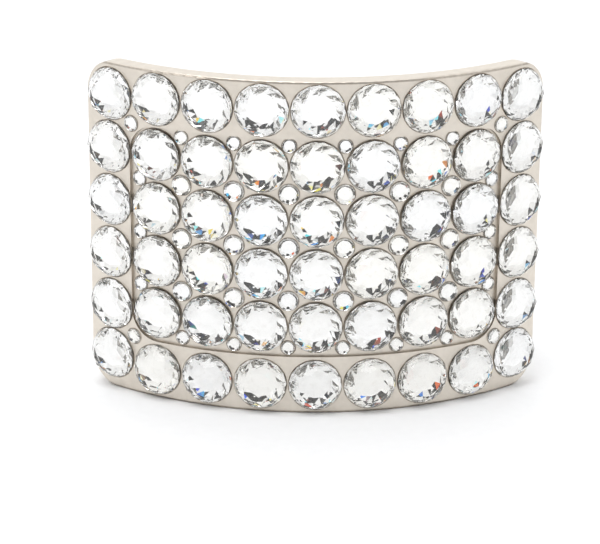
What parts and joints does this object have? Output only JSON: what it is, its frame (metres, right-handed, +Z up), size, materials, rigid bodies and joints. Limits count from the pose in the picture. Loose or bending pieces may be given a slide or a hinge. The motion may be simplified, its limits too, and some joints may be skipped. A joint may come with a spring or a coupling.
{
  "type": "hair clip",
  "caption": "Curved rectangular hair clip set with round clear crystals, with a hinged arm and a spring catch on its hollow back.",
  "frame": {"origin": "centre of the bounding box, at the height of the plate's bottom edge", "axes": "+Z up along the plate's short side, -Y towards the crystal front, +X to the right seen from the front, along the long side"},
  "size_m": [0.0606, 0.0198, 0.0462],
  "materials": {
    "plate_metal": "satin champagne plating",
    "crystal": "faceted clear, mirror foil back",
    "accent_crystal": "faceted clear, mirror foil back",
    "clasp_steel": "nickel-plated steel sheet",
    "catch_metal": "nickel-plated casting",
    "rivet_metal": "bright nickel",
    "spring_steel": "tempered spring strip"
  },
  "bodies": {
    "base": {"face_plate": "plate_metal", "border_stones_top": "crystal", "border_stones_bottom": "crystal", "border_stones_left": "crystal", "border_stones_right": "crystal", "field_stones_row_1": "crystal", "field_stones_row_2": "crystal", "field_stones_row_3": "crystal", "field_stones_row_4": "crystal", "accent_stones_row_1": "accent_crystal", "accent_stones_row_2": "accent_crystal", "accent_stones_row_3": "accent_crystal", "accent_stones_row_4": "accent_crystal", "accent_stones_row_5": "accent_crystal", "clasp_base": "clasp_steel", "base_rivets": "rivet_metal", "tension_spring": "spring_steel", "hinge_pin": "rivet_metal", "catch_block": "catch_metal", "catch_rivet": "rivet_metal"},
    "arm": {"clasp_arm": "clasp_steel"},
    "prong_upper": {"catch_prong_upper": "spring_steel"},
    "prong_lower": {"catch_prong_lower": "spring_steel"}
  },
  "joints": [
    {"name": "arm_hinge", "type": "hinge", "parent": "base", "child": "arm", "pos_m": [-0.0243, 0.00657, 0.02337], "axis": [0, 0, 1], "range_deg": [0, 100]},
    {"name": "prong_upper_flex", "type": "hinge", "parent": "base", "child": "prong_upper", "pos_m": [0.0235, 0.00365, 0.02488], "axis": [1, 0, 0], "range_deg": [0, 7], "stiffness_Nm_per_rad": 0.002, "springref_deg": 7},
    {"name": "prong_lower_flex", "type": "hinge", "parent": "base", "child": "prong_lower", "pos_m": [0.0235, 0.00365, 0.02187], "axis": [-1, 0, 0], "range_deg": [0, 7], "stiffness_Nm_per_rad": 0.002, "springref_deg": 7}
  ]
}
